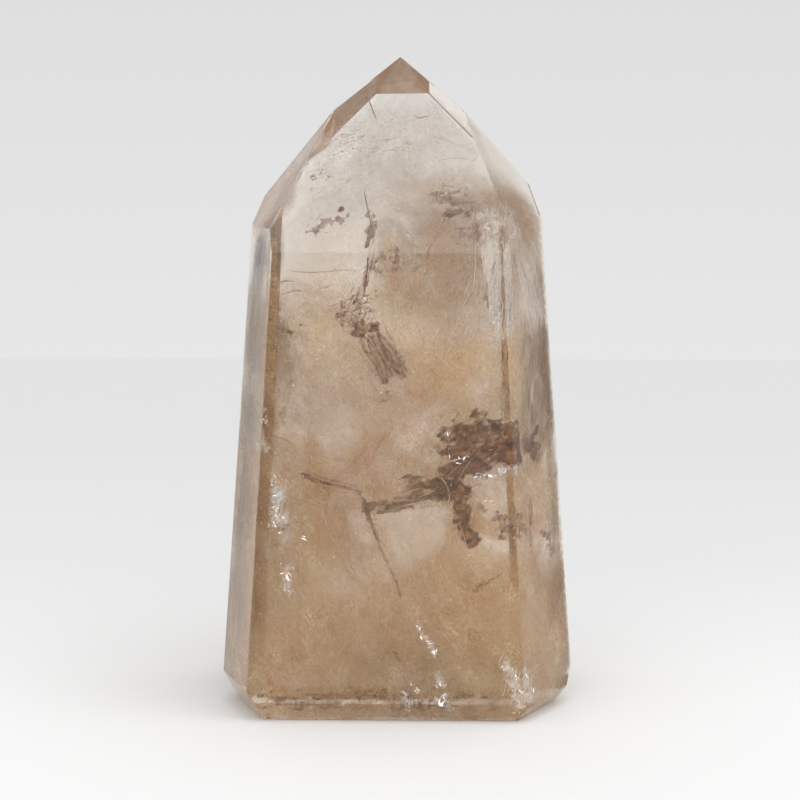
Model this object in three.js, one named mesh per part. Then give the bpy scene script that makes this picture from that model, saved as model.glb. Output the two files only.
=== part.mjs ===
// A polished quartz point that stands on its sawn base: a tapering six-sided prism
// under a six-faced tip, with a chamfer ground round the foot.
//
// The stone is one convex solid, so it is written as the list of flats that the
// lapping wheel cut, each one a half-space. Units are millimetres. +Z is up, the
// broad front face looks along -Y, and the origin ends at the middle of the foot.

import * as THREE from "three";

// ---- Driving dimensions -------------------------------------------------------

// Height of the tip above the surface that the stone stands on.
const HEIGHT = 165.5;

// Azimuths are degrees round the stone's axis, 0 for the front and 90 for the right.
// Lean is how far a flat tips inwards from upright, in degrees.

// The prism's sides. Reach is the distance from the axis to the flat at foot level.
const PRISM_SIDES = [
  { azimuth: 0, lean: 2.7, reach: 37.2 }, // front, the widest
  { azimuth: 61.5, lean: 3.9, reach: 46.5 }, // front right
  { azimuth: 114.5, lean: 3.6, reach: 35.3 }, // back right
  { azimuth: 183, lean: 2.9, reach: 17.4 }, // back
  { azimuth: -108.5, lean: 3.5, reach: 39.1 }, // back left
  { azimuth: -71, lean: 4.2, reach: 48.4 }, // front left
];

// The tip's faces. Peak is the height at which the flat would cross the axis. Three
// of them meet at the tip, and the three between them stop short of it, as the two
// kinds of end face do on quartz.
const TIP_FACES = [
  { azimuth: 0, lean: 34.3, peak: HEIGHT }, // front
  { azimuth: 117, lean: 39.2, peak: HEIGHT }, // back right
  { azimuth: -120.5, lean: 37.7, peak: HEIGHT }, // back left
  { azimuth: 58.5, lean: 36.2, peak: HEIGHT + 12.1 }, // front right
  { azimuth: 183, lean: 33.7, peak: HEIGHT + 1.1 }, // back, a small one
  { azimuth: -72.5, lean: 35.8, peak: HEIGHT + 12.8 }, // front left
];

// The chamfer round the foot. Undercut is how far each flat tips outwards from
// upright, and reach is its distance from the axis where it meets the sawn base.
const FOOT_CHAMFERS = [
  { azimuth: 0, undercut: 31, reach: 34 },
  { azimuth: 64.5, undercut: 40, reach: 42.4 },
  { azimuth: 109, undercut: 21, reach: 33.9 },
  { azimuth: 183, undercut: 31, reach: 14.6 },
  { azimuth: -108.5, undercut: 30, reach: 35.4 },
  { azimuth: -71, undercut: 30, reach: 43.4 },
];

// Smoky, slightly golden clear quartz with a wet-looking polish.
const STONE = { color: "#b39a80", roughness: 0.06, metalness: 0, opacity: 0.7 };

// A corner may stand this far outside a flat and still count as lying on it.
const TOLERANCE = 1e-6;

// Two corners nearer than this are the same corner.
const SAME_CORNER = 1e-4;

// ---- Flats --------------------------------------------------------------------

// The outward normal at an azimuth, raised by a number of degrees from level.
function outwardNormal(azimuth, rise) {
  const around = THREE.MathUtils.degToRad(azimuth);
  const up = THREE.MathUtils.degToRad(rise);
  return new THREE.Vector3(
    Math.sin(around) * Math.cos(up),
    -Math.cos(around) * Math.cos(up),
    Math.sin(up),
  );
}

// A flat keeps the points p with normal . p <= offset.
function flatThrough(normal, point) {
  return { normal, offset: normal.dot(point) };
}

// An upright flat that tips by rise degrees and lies reach from the axis at the foot.
function sideFlat(azimuth, rise, reach) {
  const atFoot = outwardNormal(azimuth, 0).multiplyScalar(reach);
  return flatThrough(outwardNormal(azimuth, rise), atFoot);
}

function tipFlat({ azimuth, lean, peak }) {
  return flatThrough(outwardNormal(azimuth, lean), new THREE.Vector3(0, 0, peak));
}

const flats = [
  ...PRISM_SIDES.map(({ azimuth, lean, reach }) => sideFlat(azimuth, lean, reach)),
  ...TIP_FACES.map(tipFlat),
  ...FOOT_CHAMFERS.map(({ azimuth, undercut, reach }) => sideFlat(azimuth, -undercut, reach)),
  flatThrough(new THREE.Vector3(0, 0, -1), new THREE.Vector3()),
];

// ---- Corners ------------------------------------------------------------------

// The point where three flats meet, or null if two of them are parallel.
function meetingPoint(a, b, c) {
  const across = b.normal.clone().cross(c.normal);
  const volume = a.normal.dot(across);
  if (Math.abs(volume) < TOLERANCE) return null;
  return across
    .multiplyScalar(a.offset)
    .addScaledVector(c.normal.clone().cross(a.normal), b.offset)
    .addScaledVector(a.normal.clone().cross(b.normal), c.offset)
    .divideScalar(volume);
}

// Every corner of the solid: a meeting point that no flat cuts away.
function findCorners(allFlats) {
  const corners = [];
  for (let i = 0; i < allFlats.length; i += 1) {
    for (let j = i + 1; j < allFlats.length; j += 1) {
      for (let k = j + 1; k < allFlats.length; k += 1) {
        const point = meetingPoint(allFlats[i], allFlats[j], allFlats[k]);
        const kept =
          point !== null &&
          allFlats.every(({ normal, offset }) => normal.dot(point) <= offset + TOLERANCE);
        const isNew = kept && corners.every((c) => c.distanceTo(point) > SAME_CORNER);
        if (isNew) corners.push(point);
      }
    }
  }
  return corners;
}

// ---- Facets -------------------------------------------------------------------

// The corners that lie on a flat, as indices in anticlockwise order seen from outside.
function facetOutline({ normal, offset }, corners) {
  const onFlat = corners
    .map((corner, index) => ({ corner, index }))
    .filter(({ corner }) => Math.abs(normal.dot(corner) - offset) < SAME_CORNER);
  const centre = new THREE.Vector3();
  onFlat.forEach(({ corner }) => centre.addScaledVector(corner, 1 / onFlat.length));
  const right = onFlat[0].corner.clone().sub(centre).normalize();
  const up = normal.clone().cross(right);
  const angle = ({ corner }) => {
    const arm = corner.clone().sub(centre);
    return Math.atan2(arm.dot(up), arm.dot(right));
  };
  return onFlat.sort((a, b) => angle(a) - angle(b)).map(({ index }) => index);
}

// One closed mesh, with each facet cut into a fan of triangles.
function buildCrystalGeometry(allFlats) {
  const corners = findCorners(allFlats);
  const triangles = [];
  for (const flat of allFlats) {
    const outline = facetOutline(flat, corners);
    for (let i = 2; i < outline.length; i += 1) {
      triangles.push(outline[0], outline[i - 1], outline[i]);
    }
  }
  const geometry = new THREE.BufferGeometry().setFromPoints(corners);
  geometry.setIndex(triangles);
  return geometry;
}

// ---- The part -----------------------------------------------------------------

const crystalGeometry = buildCrystalGeometry(flats);

// Bring the middle of the foot to the origin.
crystalGeometry.computeBoundingBox();
const middle = crystalGeometry.boundingBox.getCenter(new THREE.Vector3());
crystalGeometry.translate(-middle.x, -middle.y, 0);
crystalGeometry.computeVertexNormals();

const crystal = new THREE.Mesh(
  crystalGeometry,
  new THREE.MeshStandardMaterial({ ...STONE, transparent: true, flatShading: true }),
);
crystal.name = "crystal";

const crystalPoint = new THREE.Group();
crystalPoint.add(crystal);

export default crystalPoint;
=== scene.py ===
"""A polished smoky citrine point standing on a pale table."""

import itertools
import math

import bmesh
import bpy
import numpy as np
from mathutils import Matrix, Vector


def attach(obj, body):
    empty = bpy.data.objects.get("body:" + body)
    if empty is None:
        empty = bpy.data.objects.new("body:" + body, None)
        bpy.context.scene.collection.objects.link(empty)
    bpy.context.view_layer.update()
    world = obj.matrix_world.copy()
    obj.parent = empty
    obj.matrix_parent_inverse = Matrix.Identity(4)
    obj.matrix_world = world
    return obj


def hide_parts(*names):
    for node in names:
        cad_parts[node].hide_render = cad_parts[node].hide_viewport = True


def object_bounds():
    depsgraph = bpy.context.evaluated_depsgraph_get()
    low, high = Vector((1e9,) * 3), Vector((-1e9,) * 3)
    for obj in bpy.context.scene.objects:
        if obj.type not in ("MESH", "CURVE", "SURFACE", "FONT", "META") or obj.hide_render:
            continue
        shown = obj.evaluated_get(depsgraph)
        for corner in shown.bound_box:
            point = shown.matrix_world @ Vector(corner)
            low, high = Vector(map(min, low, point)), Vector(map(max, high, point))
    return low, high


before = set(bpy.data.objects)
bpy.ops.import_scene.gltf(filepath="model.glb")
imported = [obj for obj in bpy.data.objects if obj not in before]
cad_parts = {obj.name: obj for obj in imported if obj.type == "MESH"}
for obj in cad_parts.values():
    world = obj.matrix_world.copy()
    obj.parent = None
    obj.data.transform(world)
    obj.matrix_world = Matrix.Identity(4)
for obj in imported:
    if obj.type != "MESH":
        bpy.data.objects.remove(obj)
cad_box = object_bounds()
scene = bpy.context.scene

# ---- Table, room and light ----
# A white laminate table top whose back edge is just behind the stone, in a white room.
# The light is soft and comes from all round, with a little more from one side.
MM = 0.001
TABLE_BACK = 545 * MM
TABLE_REACH = 2.6
TABLE_NEAR = -120 * MM  # where the table is at its brightest
AIR_GAP = 0.1 * MM  # a ground foot touches the table at a few points only


def hex_colour(code):
    """The linear colour, with an alpha of 1, of an sRGB hex code such as '#c8b090'."""
    srgb = np.array([int(code[i : i + 2], 16) for i in (1, 3, 5)]) / 255
    low, high = srgb / 12.92, ((srgb + 0.055) / 1.055) ** 2.4
    return (*np.where(srgb <= 0.04045, low, high).tolist(), 1.0)


def add_node(tree, kind, settings=None, links=None):
    """Adds a node of a kind such as TexNoise. Settings are its properties or the values of
    its unlinked inputs, and links give what feeds each input: an output, or a node whose
    first output does. An input is named or numbered."""
    node = tree.nodes.new("ShaderNode" + kind)
    for key, value in (settings or {}).items():
        if isinstance(key, str) and hasattr(node, key):
            setattr(node, key, value)
        else:
            node.inputs[key].default_value = value
    for key, source in (links or {}).items():
        output = source if isinstance(source, bpy.types.NodeSocket) else source.outputs[0]
        tree.links.new(output, node.inputs[key])
    return node


def set_ramp(node, stops):
    """Gives a Color Ramp its stops, each a position and a hex colour."""
    elements = node.color_ramp.elements
    while len(elements) < len(stops):
        elements.new(1.0)
    for element, (position, code) in zip(elements, stops):
        element.position = position
        element.color = hex_colour(code)


def new_material(name):
    """An empty node material, and the node tree that its shader goes in."""
    material = bpy.data.materials.new(name)
    material.use_nodes = True
    material.node_tree.nodes.clear()
    return material, material.node_tree


def add_mesh(name, part, material):
    """A smooth mesh object at the origin with its place in its points. A part is its points
    in mm, its faces, and one or two values a point, which the material reads as cover
    and lines."""
    points, faces, values = part
    mesh = bpy.data.meshes.new(name)
    mesh.from_pydata((np.asarray(points, float) * MM).tolist(), [], np.asarray(faces).tolist())
    mesh.shade_smooth()
    mesh.materials.append(material)
    columns = np.reshape(values, (len(points), -1)).T.astype(np.float32)
    for label, column in zip(("cover", "lines"), columns):
        mesh.attributes.new(label, "FLOAT", "POINT").data.foreach_set("value", column.copy())
    piece = bpy.data.objects.new(name, mesh)
    scene.collection.objects.link(piece)
    return piece


# Matt white laminate with no gloss, so that the shadows on it stay soft. Its colour is
# painted light: lighter towards the front, standing in for more of the room's light there.
laminate, tree = new_material("white_laminate_matt")
place = add_node(tree, "TexCoord")
split = add_node(tree, "SeparateXYZ", links={0: place.outputs["Object"]})
painted_front_light = add_node(
    tree,
    "MapRange",
    {"From Min": TABLE_BACK, "From Max": TABLE_NEAR},
    {"Value": split.outputs["Y"]},
)
# Painted light: the table's colour runs from the back edge to the brighter front.
ramp = add_node(tree, "ValToRGB", links={"Fac": painted_front_light})
set_ramp(ramp, [(0.0, "#cbcbcb"), (0.28, "#cccccc"), (0.58, "#d3d3d3"), (0.83, "#e2e2e2")])
bsdf = add_node(
    tree, "BsdfPrincipled", {"Roughness": 0.9, "Specular IOR Level": 0.1}, {"Base Color": ramp}
)
add_node(tree, "OutputMaterial", links={"Surface": bsdf})

table_x = np.array([-1, 1, 1, -1]) * TABLE_REACH
table_y = np.array([-TABLE_REACH, -TABLE_REACH, TABLE_BACK, TABLE_BACK])
corners = np.stack([table_x, table_y, np.full(4, -AIR_GAP)], 1) / MM
table = add_mesh("table", (corners, [[0, 1, 2, 3]], np.ones(4)), laminate)

# The room's brightness by direction: pale walls at eye level, a bright ceiling, and a
# wide glow from a curtained window high on the right, behind the camera.
WINDOW = (0.36, -0.62, 0.70)
world = bpy.data.worlds.new("pale_room")
scene.world = world
world.use_nodes = True
world.cycles.sampling_method = "NONE"
tree = world.node_tree
tree.nodes.clear()
direction = add_node(tree, "TexCoord")
split = add_node(tree, "SeparateXYZ", links={0: direction.outputs["Generated"]})
height = add_node(
    tree, "MapRange", {"From Min": -0.3, "From Max": 0.7}, {"Value": split.outputs["Z"]}
)
ramp = add_node(tree, "ValToRGB", links={"Fac": height})
walls = [(0, "#e2e2e2"), (0.14, "#e7e7e7"), (0.25, "#dfdfdf"), (0.36, "#dedede"), (0.8, "#ececec")]
set_ramp(ramp, walls)
towards_window = add_node(
    tree, "VectorMath", {"operation": "DOT_PRODUCT", 1: WINDOW}, {0: direction.outputs["Generated"]}
)
glow = add_node(
    tree,
    "MapRange",
    {"interpolation_type": "SMOOTHSTEP", "From Min": 0.35, "From Max": 0.95, "To Max": 1.4},
    {"Value": towards_window.outputs["Value"]},
)
strength = add_node(tree, "Math", {"operation": "ADD", 1: 1.0}, {0: glow})
background = add_node(tree, "Background", links={"Color": ramp, "Strength": strength})
add_node(tree, "OutputWorld", links={"Surface": background})

# ---- Camera ----
# A long lens on a tripod, a little above the stone and a little to its right, aimed at
# its middle height.
CAMERA_DISTANCE = 832 * MM
CAMERA_ELEVATION = math.radians(10)
CAMERA_TURN = math.radians(1.6)
CAMERA_AIM = np.array([0.42, 9.09, 76.5]) * MM

level = math.cos(CAMERA_ELEVATION)
rise = math.sin(CAMERA_ELEVATION)
away = np.array([math.sin(CAMERA_TURN) * level, -math.cos(CAMERA_TURN) * level, rise])
lens = bpy.data.cameras.new("camera")
lens.sensor_width = 36
lens.lens = 144
lens.clip_start = 0.01
lens.clip_end = 20
camera = bpy.data.objects.new("camera", lens)
scene.collection.objects.link(camera)
camera.location = CAMERA_AIM + away * CAMERA_DISTANCE
camera.rotation_euler = (math.pi / 2 - CAMERA_ELEVATION, 0, CAMERA_TURN)
scene.camera = camera
scene.view_settings.view_transform = "Standard"
scene.cycles.max_bounces = 16
scene.cycles.transmission_bounces = 16
scene.cycles.glossy_bounces = 12
scene.cycles.transparent_max_bounces = 64

# ---- The stone ----
# One piece of smoky citrine, sawn flat at the foot, ground to six sides and six tip
# faces on a flat lap, and polished. The lap leaves each edge crisp but not sharp.
EDGE_WIDTH = 0.25 * MM
EDGE_STEPS = 3
EDGE_ANGLE = math.radians(1)
FLAT_ANGLE = math.radians(0.2)  # triangles that turn less than this lie on one flat
SAME_POINT = 0.01 * MM

# Clear quartz coloured by natural radiation: pale brown in thin parts, and deeper with
# the length that light travels through it. The polish is glassy.
quartz, tree = new_material("smoky_citrine_polished")
bsdf = add_node(
    tree,
    "BsdfPrincipled",
    {
        "Base Color": hex_colour("#ffffff"),
        "Roughness": 0.015,
        "IOR": 1.546,
        "Transmission Weight": 1.0,
    },
)
colour_in_depth = add_node(
    tree, "VolumeAbsorption", {"Color": hex_colour("#e7ca99"), "Density": 11.0}
)
add_node(tree, "OutputMaterial", links={"Surface": bsdf, "Volume": colour_in_depth})

stone_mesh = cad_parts["crystal"].data.copy()
stone_mesh.name = "citrine_point"
shape = bmesh.new()
shape.from_mesh(stone_mesh)
bmesh.ops.remove_doubles(shape, verts=shape.verts, dist=SAME_POINT)
bmesh.ops.dissolve_limit(shape, angle_limit=FLAT_ANGLE, verts=shape.verts, edges=shape.edges)
shape.to_mesh(stone_mesh)
shape.free()
stone_mesh.materials.clear()
stone_mesh.materials.append(quartz)
stone_mesh.shade_flat()
stone = bpy.data.objects.new("citrine_point", stone_mesh)
scene.collection.objects.link(stone)
edges = stone.modifiers.new("lapped_edges", "BEVEL")
edges.width = EDGE_WIDTH
edges.segments = EDGE_STEPS
edges.limit_method = "ANGLE"
edges.angle_limit = EDGE_ANGLE
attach(stone, "root")
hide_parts("crystal")

# ---- Smoke ----
# Clouds of microscopic cavities and darker growth zones, which make the lower half of
# the stone smoky and leave the tip nearly clear. They are many soft curved veils.
STONE_HEIGHT = float(cad_box[1][2]) / MM
SKIN = 0.4  # mm of clear stone that is kept between an inclusion and the polish
FADE = 1.6  # mm over which a veil thins out as it nears the polish
FRONT_FACE = -24  # mm, about where the front face is
FRONT_REACH = 16  # mm behind it over which smoke thickens
VEIL_GRID = 25
VEIL_BOWL = 0.35
WAVE_LENGTH = 9  # mm
WAVE_HEIGHT = 5  # mm
SMOKE_VEILS = 60
SMOKE_TRIES = 6000
SMOKE_DEPTH = 2  # mm under the polish at least
SMOKE_RADII = (15, 28)  # mm
SMOKE_STRENGTHS = (0.35, 0.65)
SMOKE_TOP = 0.70  # of the stone's height, above which there is next to no smoke
SMOKE_FADE = 0.42  # of the stone's height, over which it thickens downwards
THINNEST = 0.02
FIBRE = 1.1  # mm, the width of the fine curls in the clouds
LATTICE = 32

flat_normals = np.array([p.normal for p in stone_mesh.polygons])
flat_points = np.array([stone_mesh.vertices[p.vertices[0]].co for p in stone_mesh.polygons])
flat_offsets = (flat_normals * flat_points).sum(1) / MM


def depth_in_stone(points):
    """How deep points lie under the nearest polished flat, in mm: the least of the
    distances to all the flats' planes, which is negative outside the stone."""
    return (flat_offsets - np.asarray(points) @ flat_normals.T).min(-1)


def lattice_noise(points, size, seed):
    """Smooth random values from 0 to 1: random numbers on a lattice with steps of size
    mm, with a smoothstep blend between the eight corners round each point."""
    lattice = np.random.default_rng(seed).random((LATTICE,) * 3)
    scaled = np.asarray(points) / size
    cell = np.floor(scaled).astype(int)
    part = scaled - cell
    part = part * part * (3 - 2 * part)
    total = 0
    for corner in itertools.product((0, 1), repeat=3):
        at = (cell + corner) % LATTICE
        share = np.where(np.array(corner) == 1, part, 1 - part).prod(-1)
        total = total + share * lattice[at[..., 0], at[..., 1], at[..., 2]]
    return total


def rough_noise(points, size, seed, layers=3):
    """Lattice noise with finer layers added, each half the size and height of the last,
    brought to between -1 and 1."""
    heights = 0.5 ** np.arange(layers)
    noise = [h * lattice_noise(points, size * h, seed + i) for i, h in enumerate(heights)]
    return sum(noise) / heights.sum() * 2 - 1


def grid_faces(rows, columns):
    """The quads of a grid of points that are numbered row by row."""
    corner = np.arange(rows * columns).reshape(rows, columns)
    ring = (corner[:-1, :-1], corner[:-1, 1:], corner[1:, 1:], corner[1:, :-1])
    return np.stack(ring, -1).reshape(-1, 4)


def keep_faces(points, faces, values, kept):
    """Only the faces whose four points are all kept, and the points that they use."""
    faces = faces[kept[faces].all(1)]
    used, order = np.unique(faces, return_inverse=True)
    return points[used], order.reshape(faces.shape), values[used]


def join_parts(parts):
    """Several parts, each its points, faces and values, as one."""
    starts = np.cumsum([0] + [len(points) for points, faces, values in parts[:-1]])
    faces = [part[1] + start for part, start in zip(parts, starts)]
    points, values = (np.concatenate([part[k] for part in parts]) for k in (0, 2))
    return points, np.concatenate(faces), values


def unit(vectors):
    """Vectors brought to length 1."""
    return vectors / np.linalg.norm(vectors, axis=-1, keepdims=True)


def lobe_cover(x, z, lobes):
    """1 on the spine of the nearest lobe, 0 at its edge and less outside. A lobe is x1, z1,
    x2, z2 and a radius in mm: a straight spine with round ends."""
    x1, z1, x2, z2, radius = np.array(lobes, float).T
    run, rise = x2 - x1, z2 - z1
    reach = (x[..., None] - x1) * run + (z[..., None] - z1) * rise
    along = (reach / np.maximum(run**2 + rise**2, 1e-9)).clip(0, 1)
    gap = np.hypot(x[..., None] - x1 - along * run, z[..., None] - z1 - along * rise)
    return (1 - gap / radius).max(-1)


# Clear windows in the smoke, as lobes at the depth of WINDOW_FRONT. They run back
# through the stone and down by the drift, along the way one looks in from the front.
WINDOW_FRONT = -20
WINDOW_DRIFT = -0.158
WINDOW_LOSS = 0.5
WINDOW_EDGE = 4  # how many times as steep as a lobe's cover the window's edge is
clear_windows = [
    (-2.6, 52.4, 10.6, 52.8, 2.8),
    (-0.8, 49, 10.4, 49.4, 2.8),
    (0.6, 45.6, 9.8, 46, 2.8),
    (1.4, 42.2, 6.8, 43, 2.4),
    (2.2, 39.4, 3.6, 39.6, 2),
    (21.4, 60, 27.2, 60, 2.6),
    (22, 56.4, 27.4, 56, 2.6),
    (23, 53, 26.6, 52.6, 2.2),
    (22.8, 45.6, 28, 44, 1.6),
    (-11.2, 52.4, -9.2, 50.6, 2.4),
    (-10.6, 48.4, -8.2, 46.4, 2),
]


def window_share(points):
    """The share of smoke that is left at points: 1 outside the clear windows, and falling
    to half inside them."""
    up = points[..., 2] - WINDOW_DRIFT * (points[..., 1] - WINDOW_FRONT)
    window = np.clip(lobe_cover(points[..., 0], up, clear_windows) * WINDOW_EDGE, 0, 1)
    return 1 - WINDOW_LOSS * window


def soft_veils(centres, radii, facing, strength, seed, front):
    """Curved round veils, one a row of centres. On each, u and v run from -1 to 1. A point
    is the centre plus u and v times the radius along two directions across the facing
    one, plus a bowl of u squared plus v squared along it and a little noise. Cover is
    the strength times a dome that falls to 0 at the rim, and ends just short of the
    polish. Near the front face it thins to the share that front gives, and in the clear
    windows too."""
    draw = np.random.default_rng(seed)
    count = len(centres)
    u, v = np.meshgrid(*[np.linspace(-1, 1, VEIL_GRID)] * 2, indexing="ij")
    across = unit(np.cross(facing, draw.normal(size=(count, 3))))
    along = np.cross(facing, across)
    bowl = draw.uniform(-VEIL_BOWL, VEIL_BOWL, count)[:, None, None] * (u**2 + v**2)
    points = (
        u[..., None] * across[:, None, None]
        + v[..., None] * along[:, None, None]
        + bowl[..., None] * facing[:, None, None]
    ) * radii[:, None, None, None] + centres[:, None, None]
    wave = lattice_noise(points, WAVE_LENGTH, seed) - 0.5
    points = points + wave[..., None] * facing[:, None, None] * WAVE_HEIGHT
    dome = np.clip(1 - u**2 - v**2, 0, 1)
    depth = depth_in_stone(points)
    behind = (points[..., 1] - FRONT_FACE) / FRONT_REACH
    fade = np.clip((depth - SKIN) / FADE, 0, 1) * np.clip(behind, front, 1)
    cover = (strength[:, None, None] * dome * fade * window_share(points)).ravel()
    first = np.arange(count)[:, None, None] * VEIL_GRID**2
    faces = (grid_faces(VEIL_GRID, VEIL_GRID) + first).reshape(-1, 4)
    return keep_faces(points.reshape(-1, 3), faces, cover, depth.ravel() > SKIN)


def veil_material(name, dark, light, patch, contrast, drawn=1.0, turn=0):
    """A cloud of cavities too fine to see singly, which scatters light softly. Noise with
    patches of a size in mm, and finer curls, make its colour and its thickness uneven.
    The patches are drawn out so many times upwards, and turned by degrees to the right."""
    material, tree = new_material(name)
    place = add_node(tree, "TexCoord")
    stretch = add_node(
        tree,
        "Mapping",
        {"vector_type": "TEXTURE", "Scale": (1, 1, drawn), "Rotation": (0, math.radians(turn), 0)},
        {"Vector": place.outputs["Object"]},
    )
    cloud = add_node(
        tree,
        "TexNoise",
        {"Scale": 1 / (patch * MM), "Detail": 2.0, "Roughness": 0.6, "Distortion": 0.5},
        {"Vector": stretch},
    )
    curls = add_node(
        tree,
        "TexNoise",
        {"Scale": 1 / (FIBRE * MM), "Detail": 3.0, "Roughness": 0.7, "Distortion": 1.8},
        {"Vector": stretch},
    )
    mixed = add_node(tree, "Mix", {"data_type": "FLOAT", "Factor": 0.55}, {"A": cloud, "B": curls})
    colours = add_node(tree, "ValToRGB", links={"Fac": mixed})
    set_ramp(colours, [(0.38, dark), (0.62, light)])
    mottle = add_node(
        tree,
        "MapRange",
        {"From Min": 0.36, "From Max": 0.64, "To Min": 1 - contrast, "To Max": 1 + contrast},
        {"Value": mixed},
    )
    cover = add_node(tree, "Attribute", {"attribute_name": "cover"})
    alpha = add_node(
        tree,
        "Math",
        {"operation": "MULTIPLY", "use_clamp": True},
        {0: cover.outputs["Fac"], 1: mottle},
    )
    bsdf = add_node(
        tree,
        "BsdfPrincipled",
        {"Roughness": 0.8, "Specular IOR Level": 0.0},
        {"Base Color": colours, "Alpha": alpha},
    )
    add_node(tree, "OutputMaterial", links={"Surface": bsdf})
    return material


def placed_veils(rows, seed, facing=(0, 1, 0), lean=0.3, front=1.0):
    """Veils given one by one. A row is x, y, z and radius in mm, and strength. They face one
    way, give or take a lean, which is mostly towards the stone's front and back."""
    rows = np.array(rows, float)
    off = np.random.default_rng(seed).normal(size=(len(rows), 3)) * lean
    return soft_veils(rows[:, :3], rows[:, 3], unit(off + facing), rows[:, 4], seed, front)


# Smoke: warm cream to golden, patchy at about 6 mm and curled and grainy below that.
smoke = veil_material("smoke_cloud_in_quartz", "#f6c286", "#fff3d2", 6, 0.75, 2.2, -28)

draw = np.random.default_rng(11)
tries = draw.uniform(cad_box[0], cad_box[1], (SMOKE_TRIES, 3)) / MM
thick = np.clip((SMOKE_TOP - tries[:, 2] / STONE_HEIGHT) / SMOKE_FADE, THINNEST, 1)
inside = (depth_in_stone(tries) > SMOKE_DEPTH) & (draw.random(len(tries)) < thick)
centres = tries[inside][:SMOKE_VEILS]
radii = draw.uniform(*SMOKE_RADII, len(centres))
facing = unit(draw.normal(size=(len(centres), 3)) * (1, 1.6, 1))
strength = draw.uniform(*SMOKE_STRENGTHS, len(centres))
drifts = [
    (-18, -13, 55, 22, 0.4),
    (12, -12, 30, 24, 0.45),
    (-14, -12, 22, 22, 0.45),
    (26, -10, 20, 16, 0.45),
    (-26, -4, 34, 20, 0.5),
    (-26, 4, 62, 18, 0.5),
    (18, -8, 78, 18, 0.25),
    (-8, -10, 80, 18, 0.25),
    (-22, 6, 92, 12, 0.3),
    (2, 10, 88, 12, 0.3),
    (28, -12, 32, 12, 0.4),
    (28, -12, 20, 10, 0.25),
]
foot_rows = [
    (x, y, z, 15, 0.5)
    for x, y, z in itertools.product((-32, -16, 0, 16, 32), (-14, 2, 15), (4, 14))
    if (x + y + z) % 4 < 3  # leaves gaps between them
]
parts = [
    soft_veils(centres, radii, facing, strength, 12, 0.25),
    placed_veils(drifts, 13, front=0.25),
    placed_veils(foot_rows, 14, front=0.5),
]
smoke_piece = add_mesh("smoke", join_parts(parts), smoke)
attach(smoke_piece, "root")

# Browner clouds above the middle, with soft edges, where the radiation coloured one
# growth zone more than the clear quartz round it.
brown = veil_material("brown_growth_zone", "#94703f", "#ecca9c", 5, 0.85, 1.8, -28)
zones = [
    (13, 1, 126, 11, 0.35),
    (27, 2, 122, 11, 0.5),
    (15, 6, 122, 14, 0.35),
    (8.5, -2, 107.4, 13, 0.38),
    (7, 5, 109, 16, 0.32),
    (0.9, 0, 104.9, 9, 0.35),
    (18.6, 1, 115.8, 14, 0.32),
    (17, 8, 113, 18, 0.3),
    (3.4, 0, 115.8, 12, 0.35),
    (21.1, 2, 107.5, 13, 0.32),
    (13.6, 0, 99.8, 11, 0.35),
    (-9.3, 0, 71.4, 11, 0.35),
    (-24.6, 1, 79.1, 11, 0.35),
    (-13.1, 0, 82, 12, 0.3),
    (-4, -4, 86, 12, 0.3),
    (-20, -6, 82, 14, 0.3),
    (33, 2, 106, 12, 0.6),
    (34, 4, 84, 14, 0.5),
    (-1.5, 0, 116, 8, 0.45),
    (0.5, 0, 108, 8, 0.4),
    (4, 0, 128, 8, 0.3),
    (22, -1, 127, 9, 0.4),
    (27, -1, 122, 9, 0.4),
]
zone_piece = add_mesh("brown_clouds", placed_veils(zones, 15, lean=0.2), brown)
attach(zone_piece, "root")

# ---- Haze ----
# Thin planes of fluid-filled specks that cross the clear tip, healed cracks from when
# the crystal grew. They dull the view through it to a faintly pink grey.
haze = veil_material("healed_crack_haze", "#bfac9d", "#f2e8df", 5, 0.7)
sheets = [
    (-6, 4, 140, 26, 0.3),
    (8, 10, 143, 22, 0.25),
    (-14, -6, 128, 20, 0.25),
    (2, 12, 128, 26, 0.25),
    (-20, 10, 118, 18, 0.2),
]
pale_haze = veil_material("pale_healed_crack_haze", "#f8dcc8", "#fff2e8", 8, 0.3)
LEFT_TIP_FACE = (-0.77, -0.24, 0.58)
under_left_face = [
    (-25.5, 0, 136, 15, 0.95),
    (-25, 0, 135.3, 17, 0.8),
    (-31, -1, 128.5, 11, 0.9),
    (-30.5, -1, 127.7, 13, 0.8),
    (-20, 1, 142, 12, 0.7),
]
haze_piece = add_mesh("tip_haze", placed_veils(sheets, 21), haze)
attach(haze_piece, "root")
pale_veils = placed_veils(under_left_face, 23, LEFT_TIP_FACE, 0.05)
pale_piece = add_mesh("left_tip_haze", pale_veils, pale_haze)
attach(pale_piece, "root")

# Under the two side faces the haze is thicker, browner and drawn out upwards in streaks,
# as the last layers of the crystal grew. At the top of the left side it is greyer.
side_haze = veil_material("brown_streaked_haze", "#684622", "#b28a56", 3, 0.6, 5)
grey_haze = veil_material("grey_streaked_haze", "#5d5048", "#94867b", 3, 0.6, 6)
LEFT_SIDE = (-0.95, -0.32, 0.05)
RIGHT_SIDE = (0.88, -0.47, 0.05)
grey_rows = [(-31.6, -9.5, 117, 8, 0.9), (-32.6, -8, 110, 8, 0.5), (-34, -6.8, 102, 8, 0.3)]
left_rows = [
    (-35, -6, 96, 15, 0.8),
    (-36.5, -6, 74, 15, 0.8),
    (-38, -6, 52, 15, 0.8),
    (-39, -6, 30, 14, 0.6),
    (-40, -4, 12, 12, 0.4),
]
right_rows = [
    (33, -10, 92, 12, 0.5),
    (34, -10, 76, 12, 0.5),
    (39, 2, 106, 13, 0.5),
    (40, 2, 94, 13, 0.8),
    (41, 2, 76, 13, 0.8),
    (42, 2, 54, 13, 0.7),
    (43, 2, 30, 13, 0.6),
    (43.5, 4, 12, 12, 0.5),
]
grey_veils = placed_veils(grey_rows, 26, LEFT_SIDE, 0.08)
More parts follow.
